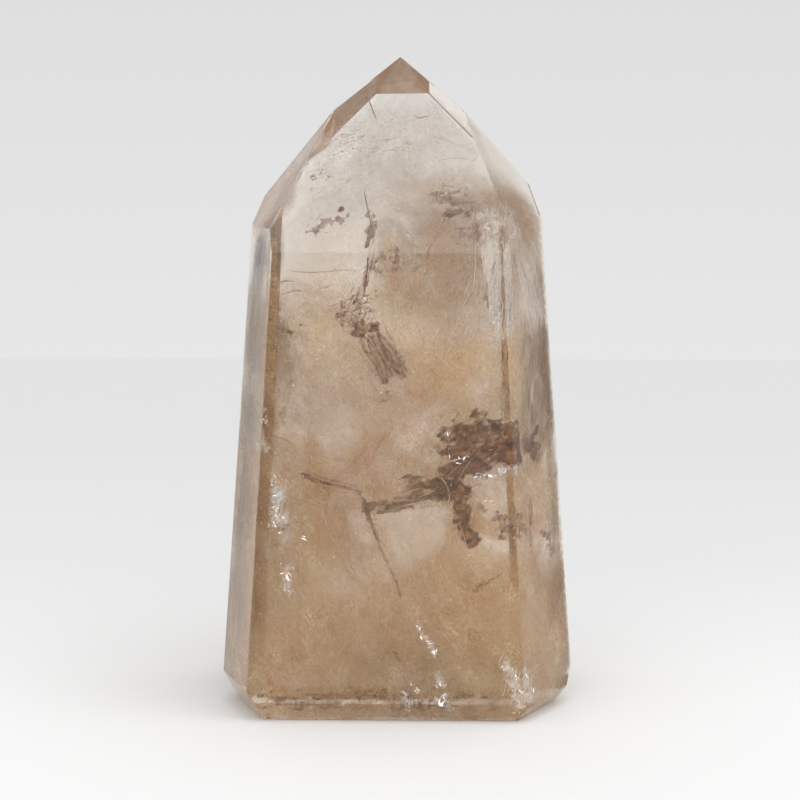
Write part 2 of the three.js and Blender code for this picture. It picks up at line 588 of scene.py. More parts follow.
grey_piece = add_mesh("grey_haze", grey_veils, grey_haze)
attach(grey_piece, "root")
parts = [
    placed_veils(left_rows, 24, LEFT_SIDE, 0.08),
    placed_veils(right_rows, 25, RIGHT_SIDE, 0.08),
]
side_piece = add_mesh("side_haze", join_parts(parts), side_haze)
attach(side_piece, "root")

# Painted glare where a crack stands open: a soft white matt patch with holes, whose white
# stands in for the light that the crack throws back.
glare = veil_material("open_crack_painted_glare", "#e6dcd6", "#ffffff", 1.6, 0.95, 1.6)
glare_rows = [
    (-29.4, -22, 57.5, 3, 0.7),
    (-28.4, -22, 52, 3.4, 0.6),
    (-27.2, -22, 47, 2.6, 0.4),
    (-33.4, -19, 70, 1.8, 0.5),
    (-26.9, -22, 35.4, 2, 0.7),
    (-26.6, -22, 39, 1.8, 0.4),
    (6.3, -22, 23.4, 1.2, 0.5),
    (8.9, -22, 19.4, 1.5, 0.5),
    (11.8, -22, 10.4, 1.4, 0.5),
    (13, -22, 5, 1.6, 0.5),
    (3.4, -22, 5.4, 1.8, 0.5),
    (29, -20, 11.6, 2.2, 0.35),
    (31.6, -18, 7, 2.6, 0.35),
    (10, 0, 153.4, 3.4, 0.6),
    (23.6, -9, 124.6, 4, 0.4),
    (24.4, -12, 117, 3, 0.35),
    (25, -14, 109, 2.6, 0.35),
    (26, -15, 102, 2, 0.4),
    (23, -18, 62.6, 2.6, 0.5),
    (26.6, -18, 63.6, 2.2, 0.6),
]
glare_piece = add_mesh("white_painted_glare", placed_veils(glare_rows, 27), glare)
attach(glare_piece, "root")

# ---- Stained fractures ----
# Old cracks that water seeped into. Each is a crumpled sheet with a ragged edge, coated
# with brown iron oxide that is thick in patches and scraped to streaks between them.
SHEET_STEP = 0.22  # mm between the points of a sheet
CRUMPLE_GRAIN = 2.4  # mm from crumple to crumple
BITE_GRAIN = 1.9  # mm, the size of the bites out of a ragged edge
LINE_GRAIN = 1.4  # mm from line to line where a film has been scraped
LINE_WIDTH = 0.2


def fracture(lobes, depth, seed, lean, ragged, crumple, streak, worn, fine=1.0, rim=3.0):
    """A cracked sheet. Over a grid in x and z that takes in all the lobes, y is the depth
    plus the lean times the way from their middle, plus crumpling noise in mm. A face is
    kept where the lobes' cover plus ragged times noise is above 0. The film's cover is
    that sum times rim, up to 1, and where it is worn it stays only on the lines, which
    run where other noise crosses 0. Streak is a direction in x and z and how many times
    longer the noise is along it, and fine is the noise's share of its usual size."""
    low = np.min([np.minimum(l[:2], l[2:4]) - l[4] for l in np.array(lobes, float)], 0) - 1
    high = np.max([np.maximum(l[:2], l[2:4]) + l[4] for l in np.array(lobes, float)], 0) + 1
    x, z = np.meshgrid(*[np.arange(a, b, SHEET_STEP) for a, b in zip(low, high)], indexing="ij")
    flat = np.stack([x, 0 * x, z], -1)
    along = unit(np.array([streak[0], 0, streak[1]], float))
    grain = flat - (flat @ along)[..., None] * along * (1 - 1 / streak[2])
    y = depth + lean[0] * (x - low[0] / 2 - high[0] / 2) + lean[1] * (z - low[1] / 2 - high[1] / 2)
    y = y + crumple * rough_noise(grain, CRUMPLE_GRAIN, seed)
    body = lobe_cover(x, z, lobes) + ragged * rough_noise(grain, BITE_GRAIN * fine, seed + 40, 4)
    ripple = rough_noise(grain, LINE_GRAIN * fine, seed + 80)
    lines = np.clip(1 - np.abs(ripple) / LINE_WIDTH, 0, 1)
    cover = np.clip(body * rim, 0, 1) * (1 - worn * (1 - lines))
    points = np.stack([x, y, z], -1).reshape(-1, 3)
    kept = (body.ravel() > 0) & (depth_in_stone(points) > SKIN)
    values = np.stack([cover.ravel(), lines.ravel()], -1)
    return keep_faces(points, grid_faces(*x.shape), values, kept)


def film_material(name, stops, grain, roughness, relief, metallic, opacity):
    """A mineral or air film in a crack. Noise with a grain in mm colours it by the stops and
    raises it by the relief in mm. Its opacity goes from the first value to the second
    with the noise, and follows the sheet's cover."""
    material, tree = new_material(name)
    place = add_node(tree, "TexCoord")
    blotch = add_node(
        tree,
        "TexNoise",
        {"Scale": 1 / (grain * MM), "Detail": 6.0, "Roughness": 0.68, "Distortion": 1.2},
        {"Vector": place.outputs["Object"]},
    )
    lines = add_node(tree, "Attribute", {"attribute_name": "lines"})
    tint = add_node(
        tree, "Math", {"operation": "MULTIPLY_ADD", 1: -0.1}, {0: lines.outputs["Fac"], 2: blotch}
    )
    colours = add_node(tree, "ValToRGB", links={"Fac": tint})
    set_ramp(colours, stops)
    cover = add_node(tree, "Attribute", {"attribute_name": "cover"})
    thickness = add_node(
        tree,
        "MapRange",
        {"From Min": 0.3, "From Max": 0.7, "To Min": opacity[1], "To Max": opacity[0]},
        {"Value": blotch},
    )
    alpha = add_node(
        tree,
        "Math",
        {"operation": "MULTIPLY", "use_clamp": True},
        {0: thickness, 1: cover.outputs["Fac"]},
    )
    crust = add_node(tree, "Bump", {"Strength": 0.6, "Distance": relief * MM}, {"Height": blotch})
    bsdf = add_node(
        tree,
        "BsdfPrincipled",
        {"Roughness": roughness, "Metallic": metallic, "Specular IOR Level": 0.2},
        {"Base Color": colours, "Alpha": alpha, "Normal": crust},
    )
    add_node(tree, "OutputMaterial", links={"Surface": bsdf})
    return material


# Iron oxide film: dull dark brown where thick, golden where thin, and a little glossy.
OXIDE = [(0.3, "#4a2406"), (0.45, "#754411"), (0.58, "#a36c2c"), (0.7, "#e4b676")]
stain = film_material("iron_oxide_film_in_crack", OXIDE, 2.6, 0.4, 0.15, 0, (0.65, 1.2))

# The broad stained crack low on the right, with the arm that runs left from it and the
# tongue that hangs below.
broad_lobes = [
    (16.6, 72.6, 23, 74.6, 5.4),
    (23, 73.4, 29.4, 72.6, 5.2),
    (14.8, 68.8, 22, 68.2, 4.2),
    (22, 69, 30, 68, 3.6),
    (14.3, 64.2, 20.9, 65.7, 3.3),
    (11.8, 60.1, 15.8, 58.5, 3.4),
    (16.4, 56, 17.9, 48.3, 2.5),
    (18.4, 48.3, 19.4, 45.7, 2.2),
]
arm_lobes = [
    (3.8, 60.6, 6.8, 61.4, 2.4),
    (7.4, 60.2, 12.3, 59.4, 2.6),
    (0.2, 56.4, 11.3, 57.8, 1.7),
    (-7.3, 54.8, 1.2, 56.2, 1.2),
    (-3.8, 53.4, 4.2, 54.4, 0.8),
]
side_patch_lobes = [(31, 69, 33.2, 67, 3.0), (32.6, 70.6, 34.8, 72.4, 1.4)]
broad_crack = join_parts(
    [
        fracture(broad_lobes, -20.5, 51, (0.1, -0.12), 0.8, 0.8, (2, 1, 2), 0.1, 0.7, 2.5),
        fracture(arm_lobes, -20.5, 52, (0.1, -0.2), 1.5, 0.9, (3, 1, 3), 0.3, 0.5, 2.0),
        fracture(side_patch_lobes, -12, 53, (0.3, 0), 0.7, 0.6, (1, 1, 2), 0.2, 0.6),
    ]
)
stained_crack = add_mesh("stained_crack", broad_crack, stain)
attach(stained_crack, "root")

# The small crack left of centre: smudges beside a fine line, then a tangle of curled
# lines, a solid brown blot, and a curtain of fine pleats below it.
vein_lobes = [
    (-7.5, 55.5, -6.2, 51.8, 1),
    (-6.2, 51.8, -3.8, 44.6, 0.9),
    (-3.8, 44.6, -0.6, 37.4, 0.7),
    (-0.6, 37.4, 1.6, 31.6, 0.5),
]
shore_lobes = [(-23, 63, -19, 61.2, 0.8), (-19, 61, -8.4, 58.6, 0.5), (-9.4, 58.6, -7.6, 56, 0.5)]
upper_smudges = [(-6.7, 127.3, -6.8, 119.6, 0.7), (-6.0, 125, -5.6, 122, 1.5)]
lower_smudges = [
    (-6.8, 117, -7.4, 110, 0.7),
    (-5.6, 116.3, -3.4, 117.3, 1.3),
    (-6, 115, -5, 114.6, 1.4),
]
tangle_lobes = [
    (-9.5, 103.8, -7.3, 106.8, 2.6),
    (-12.3, 106.3, -8.3, 106.3, 1.8),
    (-12.3, 103.2, -10.8, 100.2, 1.8),
]
blot_lobes = [(-8.8, 99.9, -4.8, 100.5, 1.9), (-9.8, 98.6, -7.6, 98.9, 1.3)]
curtain_lobes = [
    (-6.6, 96.2, -2.6, 88.4, 2),
    (-4.8, 98.2, 1.7, 89.7, 1.6),
    (-1.8, 88.6, 2.4, 89, 1.8),
]
small_crack = join_parts(
    [
        fracture(vein_lobes, -21, 66, (0.1, 0), 1.1, 0.6, (1, -2.4, 4), 0.6, 0.5, 1.6),
        fracture(shore_lobes, -20.5, 67, (0.1, 0), 1.1, 0.6, (3, -1, 3), 0.3, 0.4, 2.0),
        fracture(upper_smudges, -15, 61, (0.2, 0.3), 2.0, 0.6, (0.4, 1, 2.5), 0.4, 0.5),
        fracture(lower_smudges, -18.5, 65, (0.2, 0.05), 1.1, 0.7, (0.4, 1, 2), 0.65, 0.5),
        fracture(tangle_lobes, -19, 62, (0.4, 0.1), 1.4, 1.2, (1, 1, 1.3), 0.92, 0.8),
        fracture(blot_lobes, -19.5, 63, (0.1, 0.2), 1.0, 0.4, (1, 0, 1.3), 0.1, 0.7),
        fracture(curtain_lobes, -20, 64, (0.3, 0.1), 1.4, 1.0, (1, -2, 4), 0.85, 0.6),
    ]
)
pleated_crack = add_mesh("pleated_crack", small_crack, stain)
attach(pleated_crack, "root")

# Small blots of the same film, where specks of iron ore were shut in. A row is the lobes,
# the depth, how ragged the sheet is, its streaks, and how worn the film is.
blots = [
    ([(-20.2, 136.5, -16.4, 138.6, 0.9)], -9, 3, (1, 0.6, 2), 0.5),
    ([(-14, 128.1, -13.9, 128.1, 0.8)], -12, 1, (1, 1, 1), 0),
    ([(-20.3, 122.6, -17, 124.6, 1.3), (-17, 124.6, -13.4, 125, 1.1)], -12, 3, (1, 0.4, 1.5), 0.4),
    ([(11.5, 131.4, 15.5, 130.6, 2.4), (16, 130, 17.8, 128.2, 1.6)], -11, 2, (1, -0.1, 2), 0.55),
    ([(13.1, 126.7, 15.8, 127.4, 1)], -11, 2, (1, 0.4, 3), 0.3),
    ([(15.8, 121.6, 20.1, 121.4, 1.8), (18.5, 123.4, 19.6, 123.8, 0.9)], -13, 2.2, (1, 0, 2), 0.65),
    ([(21.9, 109, 23.7, 106.3, 1.3)], -14, 2.2, (0.3, 1, 2), 0.6),
    ([(-1.1, 117, 0.2, 115, 1.3)], -14, 2.5, (0.3, 1, 2), 0.7),
    ([(26.2, 50.4, 28.8, 48, 1.9), (25.7, 46.3, 27.3, 46.1, 0.9)], -16, 2.2, (1, 1, 1.5), 0.6),
    ([(36.5, 44.8, 39.2, 43.7, 1.8)], -10, 1.9, (1, 1, 1.5), 0.5),
    ([(40.3, 53.1, 41, 50.5, 0.8)], -10, 2.4, (0, 1, 2), 0.5),
    ([(29.6, 54.3, 29.3, 41.3, 0.7)], -10, 1.7, (0, 1, 5), 0.6),
    ([(21.4, 54.9, 22.4, 53.2, 0.7)], -18, 2, (1, 1, 1), 0.7),
    ([(18.2, 59.2, 20, 59.6, 1.4)], -18, 2.2, (1, 0.3, 2), 0.6),
    ([(-29, 71.9, -27.2, 71.3, 0.4)], -17, 2, (1, -0.3, 3), 0.3),
    ([(20, 33, 26.5, 36.4, 0.5)], -18, 2.7, (1, 0.6, 4), 0.85),
    ([(-33, 5.2, -24, 5, 1.5), (-24, 5, -10, 5.4, 1.8)], -23, 2.2, (1, 0.1, 3), 0.75),
    ([(-8, 5.6, 0, 5.6, 2), (4, 5.2, 26, 5.2, 1.4)], -23, 2.2, (1, 0.1, 2), 0.75),
    ([(-0.6, 17.4, 0.6, 15.4, 0.8)], -20, 2.7, (1, -1, 3), 0.7),
    ([(-29.4, 99.4, -23.8, 98.4, 0.6), (-27, 97.4, -24, 99.6, 0.5)], -17, 2.5, (1, -0.3, 3), 0.6),
    ([(-2, 82.6, -0.4, 82, 0.8), (-3.6, 81, -2.4, 80.8, 0.5)], -16, 2.7, (1, 0.4, 2), 0.7),
]
blot_parts = [
    fracture(lobes, depth, 200 + i, (0.2, 0.1), ragged, 0.4, streak, worn, 0.45)
    for i, (lobes, depth, ragged, streak, worn) in enumerate(blots)
]
blot_piece = add_mesh("iron_blots", join_parts(blot_parts), stain)
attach(blot_piece, "root")

# A thin golden film beside the left edge, a wedge that widens towards its lower end.
wedge_lobes = [
    (-29.2, 105.5, -29.2, 104, 0.8),
    (-29.6, 100, -29.8, 98, 2.2),
    (-29.2, 95, -29.8, 93, 3.4),
    (-28.4, 89, -29.4, 84, 4.8),
    (-30.4, 80, -30.4, 76, 3),
]
GOLD = [(0.35, "#9a6f3c"), (0.5, "#c39a60"), (0.65, "#efd09a")]
gold_film = film_material("thin_golden_film_in_crack", GOLD, 2.2, 0.45, 0.3, 0, (0.35, 0.75))
# The same film again, just inside the right edge, where it makes that rim brown, and down
# the strip beside the left edge.
rim_lobes = [(35.4, 96, 36.8, 60, 2.4), (36.8, 60, 37.4, 40, 2.0)]
edge_strip_lobes = [(-30.4, 121, -30.6, 107, 1.3), (-30.6, 107, -31.2, 88, 1.5)]
gold_parts = [
    fracture(wedge_lobes, -15, 58, (0.2, 0.1), 0.2, 0.6, (1, -3, 4), 0.3),
    fracture(edge_strip_lobes, -19, 57, (0, 0), 0.3, 0.4, (1, 0, 3), 0.0),
    fracture(rim_lobes, -1, 59, (0, 0), 0.8, 0.6, (0, 1, 5), 0.2),
    fracture(rim_lobes, -3.5, 60, (0, 0), 0.8, 0.6, (0, 1, 5), 0.2),
]
wedge = add_mesh("golden_film", join_parts(gold_parts), gold_film)
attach(wedge, "root")

# ---- Silvery fractures ----
# Fresh cracks with a film of air in them, which mirrors like foil. One runs down beside
# the right edge of the front face, and smaller ones are scattered down to the foot.
SILVER = [(0.3, "#b9a897"), (0.45, "#e6dcd2"), (0.6, "#fffaf4")]
air_film = film_material("air_film_in_crack", SILVER, 0.9, 0.2, 0.4, 0.8, (0.25, 1))

edge_top_lobes = [
    (20.8, 126.6, 26.4, 125, 1.6),
    (22.2, 123.4, 22.8, 118.8, 1.5),
    (25, 126, 25, 120.4, 1.6),
]
edge_lobes = [
    (24.6, 118.4, 25.2, 106.8, 2.3),
    (23.2, 116.4, 25.2, 104.3, 1.8),
    (25.7, 104.8, 26.7, 97.3, 1.3),
]
side_lobes = [(27.5, 122, 31, 104, 2.6), (31, 118, 35, 102, 2.6), (30.5, 106, 31.5, 96, 1.4)]
foot_lobes = [(28.4, 15, 29.8, 12, 1.2), (30.4, 9.5, 32.4, 5, 1.5)]
left_scar_lobes = [(-30.6, 61.4, -29.8, 55, 0.7), (-29.6, 57, -28.6, 49.6, 1.1)]
patch_folds = [(20.6, 63.6, 24.4, 63, 0.8), (26, 64, 29, 65, 0.7)]
# A row is the lobes, the depth, how ragged and how worn the sheet is, and its streaks.
silver_rows = [
    (edge_top_lobes, -14, 1.6, 0.4, (0.4, 1, 1.5)),
    (edge_lobes, -17, 1.6, 0.4, (0, 1, 4)),
    (foot_lobes, -22, 2.4, 0.4, (0.5, -1, 1.5)),
    (patch_folds, -21.5, 1.6, 0.4, (1, -0.2, 3)),
    (left_scar_lobes, -22, 2.4, 0.4, (0.2, 1, 2)),
    ([(15, 66.8, 20, 68.6, 0.7)], -21.5, 1.4, 0.6, (1, 0.4, 3)),
    ([(15, 76.2, 12.8, 69.4, 0.5)], -21.5, 1.6, 0.4, (0.3, 1, 2.5)),
    ([(22.5, 76.4, 30, 76.2, 0.8)], -21.5, 1.8, 0.6, (1, -0.2, 5)),
    ([(5.8, 25.2, 6.6, 22.4, 0.6)], -22, 2.2, 0.2, (0.3, -1, 2)),
    ([(8, 21.4, 9.6, 18.2, 0.7), (9.6, 18.4, 10.4, 17, 0.5)], -22, 2, 0.1, (0.5, -1, 2)),
    ([(11.2, 11.6, 12.2, 9.4, 0.9)], -22, 2.4, 0.2, (0.5, -1, 2)),
    ([(12.4, 5.8, 13.8, 4.4, 1.2)], -23, 2.4, 0.2, (1, -1, 1.5)),
    ([(1.8, 7.4, 3.6, 3.6, 0.8)], -23, 2.2, 0.3, (0.5, -1, 2)),
    ([(-26.9, 37.6, -26.4, 33.4, 1.1)], -22, 2.6, 0.4, (0.3, 1, 1.5)),
    ([(-22.9, 48.4, -22.2, 46.6, 0.35)], -22, 1.4, 0, (0.3, 1, 2)),
    ([(-33.2, 72.4, -32.4, 68.6, 0.8)], -20, 2.2, 0.3, (0.3, 1, 2)),
]
silver_parts = [
    fracture(lobes, depth, 80 + i, (0.3, 0.1), ragged, 0.6, streak, worn, 0.5)
    for i, (lobes, depth, ragged, worn, streak) in enumerate(silver_rows)
]
silver_parts.append(fracture(side_lobes, -10, 99, (0.8, 0), 1.4, 0.9, (0.35, -1, 7), 0.6))
silver_piece = add_mesh("silvery_cracks", join_parts(silver_parts), air_film)
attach(silver_piece, "root")

# ---- Threads ----
# Hair-thin cracks, open and white or stained brown, folds of a film painted pale as
# highlights, and one needle of rutile in the tip. Each is made as a tapering tube.
THREAD_SIDES = 5
THREAD_STEPS = 40
THREAD_WANDER = 0.07  # mm off the smooth curve
STRAND_STEPS = 9
STRAND_BEND = 0.3  # mm
COMB_DEPTH = 1.0  # mm, how far the threads of a comb stray along y


def thread(path, radius, seed, steps=THREAD_STEPS):
    """A tube along a smooth curve through a few points. Between two points the curve is
    the Catmull-Rom cubic, with a little noise across it, and the radius goes from 0 at
    both ends to its full size in the middle as the square root of a sine does."""
    path = np.array(path, float)
    ends = np.concatenate([[2 * path[0] - path[1]], path, [2 * path[-1] - path[-2]]])
    t = np.linspace(0, len(path) - 1 - 1e-6, steps)
    i = t.astype(int)
    f = (t - i)[:, None]
    a, b, c, d = (ends[i + k] for k in range(4))
    curve = 0.5 * (
        2 * b + (c - a) * f + (2 * a - 5 * b + 4 * c - d) * f**2 + (3 * b - a - 3 * c + d) * f**3
    )
    draw = np.random.default_rng(seed)
    curve[1:-1] += draw.normal(size=(steps - 2, 3)) * THREAD_WANDER
    tangent = unit(np.gradient(curve, axis=0))
    side = unit(np.cross(tangent, (0.1, 1, 0.05)))
    other = np.cross(tangent, side)
    angle = np.linspace(0, 2 * math.pi, THREAD_SIDES, endpoint=False)
    size = radius * np.sqrt(np.sin(np.linspace(0.02, 0.98, steps) * math.pi))
    ring = side[:, None] * np.cos(angle)[:, None] + other[:, None] * np.sin(angle)[:, None]
    points = curve[:, None] + ring * size[:, None, None]
    corner = np.arange(steps * THREAD_SIDES).reshape(steps, THREAD_SIDES)
    turned = np.roll(corner, -1, axis=1)
    faces = np.stack([corner[:-1], turned[:-1], turned[1:], corner[1:]], -1).reshape(-1, 4)
    return points.reshape(-1, 3), faces, np.ones(steps * THREAD_SIDES)


def grained_material(name, dark, light, grain, roughness, metallic=0.0):
    """A solid speck or thread. Noise with grains of a size in mm shades it."""
    material, tree = new_material(name)
    place = add_node(tree, "TexCoord")
    noise = add_node(
        tree,
        "TexNoise",
        {"Scale": 1 / (grain * MM), "Detail": 2.0},
        {"Vector": place.outputs["Object"]},
    )
    colours = add_node(tree, "ValToRGB", links={"Fac": noise})
    set_ramp(colours, [(0.35, dark), (0.65, light)])
    bsdf = add_node(
        tree,
        "BsdfPrincipled",
        {"Roughness": roughness, "Metallic": metallic},
        {"Base Color": colours},
    )
    add_node(tree, "OutputMaterial", links={"Surface": bsdf})
    return material


def drawn_threads(rows, seed):
    """Threads given one by one. A row is the depth, the full radius and the x and z of each of
    the points that the thread runs through, all in mm."""
    paths = [[(x, depth, z) for x, z in spots] for depth, radius, spots in rows]
    return join_parts([thread(p, row[1], seed + i) for i, (p, row) in enumerate(zip(paths, rows))])


# The brown of iron oxide again, in lines too thin for its patches to show.
line_brown = grained_material("iron_oxide_in_hair_cracks", "#784c22", "#b08650", 1.5, 0.6)
brown_lines = [
    (-17, 0.08, [(-27.5, 114.2), (-23.8, 113.7), (-18.8, 113.7), (-12.5, 114.2), (-8.8, 114)]),
    (-17, 0.12, [(-28.8, 110.9), (-27.4, 111.4), (-25.3, 111.2)]),
    (-17, 0.09, [(-28.5, 107.9), (-25.5, 108.9), (-22, 108.8)]),
    (-17, 0.07, [(-19.3, 109.4), (-17.5, 109.9), (-15.8, 110.3)]),
    (-10.8, 0.16, [(-7.9, 133.7), (-7.6, 130.3), (-6.8, 126.6), (-6.4, 123.9), (-7, 118.5)]),
    (-16.5, 0.2, [(-6.8, 117.8), (-7, 114), (-7.6, 110), (-7.9, 107.2)]),
    (-17, 0.1, [(-7.3, 110), (-9.2, 108.4), (-9.8, 106.8)]),
    (-20, 0.12, [(-12.5, 106.8), (-10.8, 107.2), (-8.6, 106), (-9.8, 104.4), (-11.6, 104.8)]),
    (-20, 0.1, [(-12.8, 102.8), (-11.6, 104.2), (-9.4, 102.4), (-10, 100.8), (-12, 100.4)]),
    (-20, 0.1, [(-8.4, 105.6), (-7.2, 103.8), (-8.2, 101.6)]),
    (-20.5, 0.09, [(-7.3, 97.5), (-5.8, 94.2), (-4.3, 91.2), (-1.8, 87.1)]),
    (-20.5, 0.09, [(-4.8, 99.3), (-2.8, 95.5), (0.2, 91.2), (2.2, 88.7)]),
    (-20.5, 0.08, [(-6.2, 97.8), (-4.6, 94.4), (-2.4, 91.2), (-0.4, 87.6)]),
    (-17, 0.13, [(-22.7, 63.4), (-18.9, 61.7), (-13.9, 60.4), (-8.1, 58.9)]),
    (-17, 0.1, [(-22.7, 63.2), (-20.7, 60.6), (-18.4, 59.1)]),
    (-21, 0.08, [(-8.1, 57), (-6.3, 52.1), (-4.3, 45.7), (-2.3, 40.6), (-0.6, 36.2)]),
    (-21, 0.07, [(-8.8, 55.6), (-6.3, 50.9), (-4.8, 47.5), (-3.6, 43)]),
    (-17, 0.16, [(-7.2, 54.6), (-0.8, 54.7), (5, 55.4), (8.8, 56.4)]),
    (-16, 0.07, [(20.2, 32.8), (23.5, 34.8), (26.5, 36.5)]),
    (-17, 0.1, [(-33.5, 67.2), (-32.5, 70.3), (-30.2, 71.8), (-27.5, 71.1), (-25.2, 69.6)]),
    (2, 0.12, [(3.9, 150.7), (5.2, 149.9), (6.4, 150), (8.5, 150.7)]),
    (5, 0.15, [(-8.1, 156.2), (-6.6, 151.9), (-5.3, 148.1)]),
    (0, 0.06, [(-6.4, 144.7), (-3.1, 143.6), (-0.6, 145), (2, 145.3)]),
    (0, 0.05, [(8.3, 145.6), (12.1, 144.2), (18.4, 141.3)]),
    (0, 0.05, [(10.9, 138.5), (14.7, 139.1), (18.4, 138.5)]),
    (-16, 0.1, [(13, 126), (10, 121), (7, 116), (2, 112)]),
]
line_piece = add_mesh("hair_cracks", drawn_threads(brown_lines, 90), line_brown)
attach(line_piece, "root")


def strands(rows, seed):
    """Many fine threads in combs. A row is the comb's middle x, y and z, how far the
    threads' middles stray along x and z, the run of one thread along x and z, how many
    there are, and their radius. Each thread bends a little at its middle."""
    draw = np.random.default_rng(seed)
    parts = []
    for x, y, z, stray_x, stray_z, run, rise, count, radius in rows:
        for _ in range(count):
            middle = np.array([x, y, z]) + draw.normal(size=3) * (stray_x, COMB_DEPTH, stray_z)
            half = np.array([run, 0, rise]) * draw.uniform(0.2, 0.7)
            ends = [middle - half, middle + draw.normal(size=3) * STRAND_BEND, middle + half]
            if depth_in_stone(ends).min() > SKIN:
                size = radius * draw.uniform(0.5, 1.2)
                parts.append(thread(ends, size, int(draw.integers(9999)), STRAND_STEPS))
    return join_parts(parts)


# Combs of white hair cracks: down the silvery crack, and slanting under the right face.
bright_combs = [
    (23, -10, 124.5, 2, 1.4, 0.6, 4, 44, 0.1),
    (24, -14, 116, 1.2, 3.6, 0.3, 7, 60, 0.09),
    (25, -16, 107, 1, 3.4, 0.8, 7, 46, 0.09),
    (26, -17, 100.5, 0.7, 2.4, 0.8, 4, 24, 0.09),
    (28.5, -9, 110, 2.2, 5, 3, -9, 44, 0.05),
    (33, -6, 108, 2.6, 5, 3, -9, 40, 0.05),
    (37.5, -2, 112, 2.2, 5, 2, -8, 30, 0.06),
    (-29.4, -22, 56, 0.8, 2.6, 0.5, 3, 26, 0.06),
    (30, -20, 9.6, 1.6, 2.4, 1.2, 2.4, 40, 0.07),
    (20, -19, 70, 4.2, 3, 3, 2, 14, 0.05),
    (14, -12, 100, 10, 12, 1.4, 3, 30, 0.04),
]
hair_white = grained_material("open_hair_crack", "#f2e9e0", "#ffffff", 0.6, 0.5)
comb_piece = add_mesh("white_hair_cracks", strands(bright_combs, 171), hair_white)
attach(comb_piece, "root")

# The same combs stained brown: in the small crack and its pleats, through the broad
# crack, and in faint dark scratches under both side faces.
brown_combs = [
    (-6, -15, 123, 0.6, 2, 0.4, 3, 16, 0.06),
    (-5.6, -18, 115, 0.8, 2, 0.8, 3, 20, 0.06),
    (-10.2, -19.5, 104.4, 1.4, 2.2, 1.2, 2.4, 40, 0.07),
    (-3, -20.5, 93, 1.6, 2.4, 3, -6, 36, 0.07),
    (-5.4, -20.5, 90, 0.8, 3, 2, -4, 10, 0.06),
    (20.5, -20.5, 70, 4.6, 2.4, 5, 2.4, 50, 0.08),
    (12.8, -21, 61, 1.6, 2.4, 1.6, 4, 26, 0.08),
    (7, -21, 58.4, 3.6, 1.4, 5, 1.4, 40, 0.08),
    (-1.5, -21, 55.2, 3.4, 0.7, 5, 0.6, 26, 0.07),
    (17.8, -21, 50.6, 1.2, 2.6, 1, 4, 20, 0.08),
    (24.4, -16, 105, 1, 3, 0.4, 3, 14, 0.06),
    (29, -8, 84, 1.6, 8, 0.6, 6, 40, 0.09),
    (33.5, -6, 84, 2, 8, 0.6, 6, 40, 0.09),
    (37.5, -2, 80, 1.6, 8, 0.4, 5, 26, 0.08),
    (-35.4, -8, 112, 0.8, 3, 0.3, 4, 26, 0.07),
    (-36, -8, 84, 0.9, 12, 0.3, 7, 40, 0.07),
    (-39, -8, 54, 1.2, 12, 0.3, 7, 40, 0.07),
    (-27, -16, 98.6, 1.6, 0.7, 3, -0.7, 12, 0.07),
    (-12, 0, 146, 5, 2, 1.6, 0.5, 50, 0.06),
    (-17, -4, 136, 5, 4, 1.6, 1.2, 40, 0.06),
    (-2, -2, 143, 5, 1.5, 2, 0.2, 24, 0.06),
    (14, -4, 132, 5, 5, 1.4, 1.6, 40, 0.05),
    (14, -13, 112, 8, 10, 1, 2.4, 60, 0.05),
    (-16, -14, 96, 8, 10, 2, 1.2, 60, 0.05),
    (0, -15, 76, 12, 8, 1.2, 2, 60, 0.05),
    (0, -18, 44, 14, 12, -1, 2.4, 60, 0.05),
]
comb_piece = add_mesh("brown_hair_cracks", strands(brown_combs, 172), line_brown)
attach(comb_piece, "root")

# Pale gold lines: painted highlights where a crack's edge or a fold in its golden film
# turns light to the eye. Their paleness is painted light on the film's own gold.
painted_glint_gold = grained_material("golden_film_fold_painted_glint", "#c8a274", "#f2dcb4", 0.8, 0.35)
gold_lines = [
    (-22, 0.16, [(10.8, 62.8), (12.6, 61.2), (13.6, 58.7), (13.6, 56.6), (12.8, 54.6)]),
    (-22, 0.12, [(16.1, 51.3), (17.1, 48.4), (17.9, 45.6)]),
    (-22, 0.1, [(15.4, 50.5), (15.6, 47.9), (16.2, 45.3)]),
    (-22, 0.16, [(10.8, 65.6), (13.8, 66.6), (17.3, 67.6), (18.8, 68.9)]),
    (-22, 0.1, [(18.8, 66.6), (17.3, 64.3), (15.8, 61.2)]),
    (-22, 0.1, [(17.8, 66.9), (15.8, 65.3), (13.3, 62.8)]),
    (-22, 0.12, [(10.6, 59.7), (8.8, 58.6), (6.3, 57.4), (3.8, 56.6)]),
    (-22, 0.08, [(-0.8, 55.1), (2.5, 55.2), (5, 55.9), (8.8, 57)]),
    (-17, 0.14, [(-18.4, 52.6), (-15.7, 45.7), (-11.4, 39.2), (-8.1, 32.8)]),
    (-15, 0.1, [(-23.9, 63.6), (-22.4, 59.5), (-20.9, 55.9)]),
    (-20, 0.09, [(-29.3, 12.4), (-28.9, 11.2), (-28.5, 10)]),
    (-20, 0.09, [(-26.7, 12.4), (-26.1, 11), (-25.5, 9.8)]),
    (-20, 0.07, [(-15.2, 15.9), (-13.4, 17.7), (-12.2, 19.8)]),
    (-16, 0.08, [(-28.1, 106.5), (-26.4, 98.9), (-24.6, 92.6), (-22.9, 86.3)]),
]
fold_piece = add_mesh("golden_folds_painted_glints", drawn_threads(gold_lines, 160), painted_glint_gold)
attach(fold_piece, "root")

# ---- Flecks ----
# Tiny flat cavities and mineral scales all through the stone: white glints where a
# cavity faces the light, golden scales in the smoky half, clusters of pale gold flecks that
# are painted glints, and dull specks elsewhere.
FLECK_SIDES = 6
FLECK_SKIN = SKIN + 0.3
FLECK_DEPTH = 1.2  # mm, how far a cluster's flecks stray along y
FLECK_RANGE = (0.4, 1.3)  # times its stated size that a fleck, or a corner of it, may be


